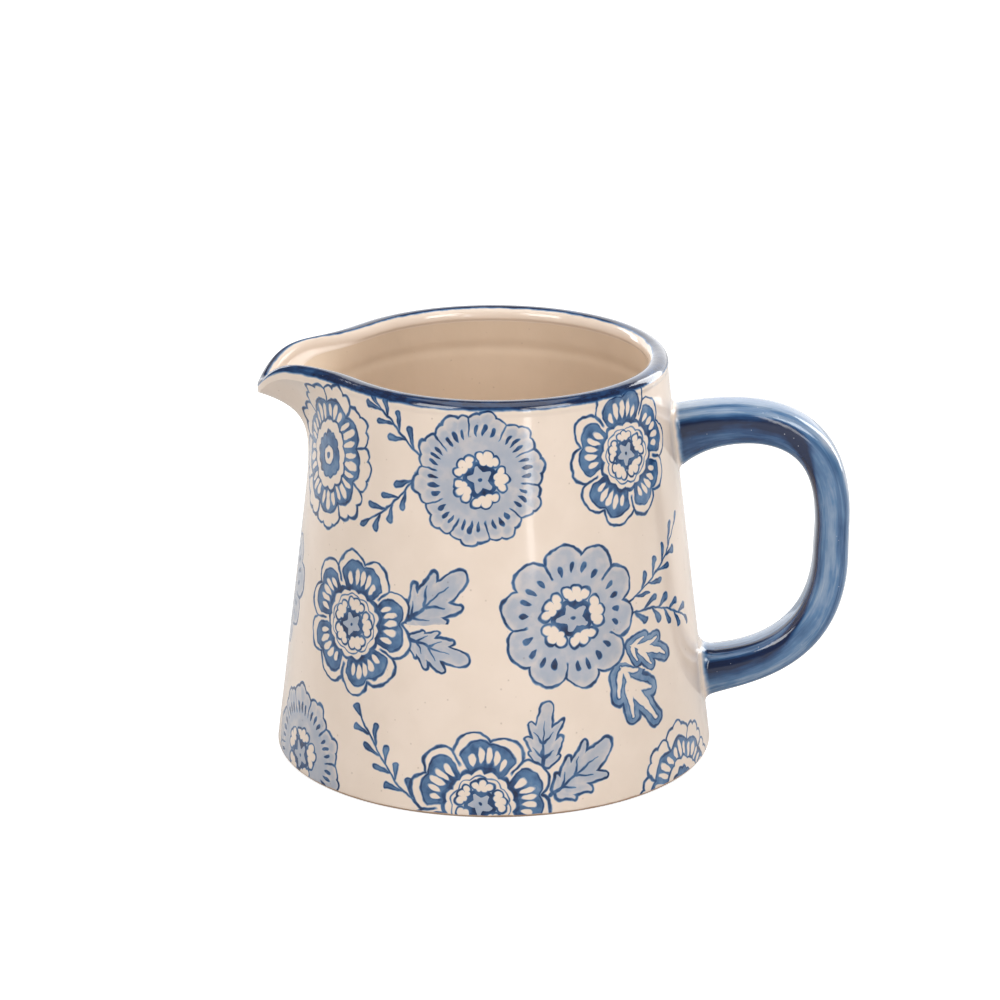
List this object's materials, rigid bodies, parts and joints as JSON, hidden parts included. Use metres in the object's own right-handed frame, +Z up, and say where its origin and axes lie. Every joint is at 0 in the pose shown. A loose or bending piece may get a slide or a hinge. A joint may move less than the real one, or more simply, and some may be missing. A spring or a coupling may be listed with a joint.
{
  "type": "cream jug",
  "caption": "Tapered glazed cream jug with a pulled pouring beak, a painted rolled rim and a strap handle.",
  "frame": {"origin": "on the table under the jug, at the middle of the length from beak tip to handle", "axes": "+Z up, +X along the jug from the beak towards the handle, +Y to the left of someone looking along +X"},
  "size_m": [0.1306, 0.0968, 0.0899],
  "materials": {
    "painted_glaze": "glossy clear glaze over hand-painted slate-blue flowers on a cream body",
    "clear_glaze": "glossy clear glaze over cream clay",
    "inner_glaze": "glossy warm beige glaze",
    "cobalt_glaze": "glossy brushed cobalt blue, streaky, thinner at the edges",
    "bare_clay": "matt unglazed clay"
  },
  "bodies": {
    "root": {"foot_ring": "bare_clay", "base_disc": "inner_glaze", "body_wall": "painted_glaze", "pouring_spout": "painted_glaze", "rim_bead": "cobalt_glaze", "handle": "cobalt_glaze", "handle_upper_joint": "clear_glaze", "handle_lower_joint": "clear_glaze"}
  },
  "joints": []
}
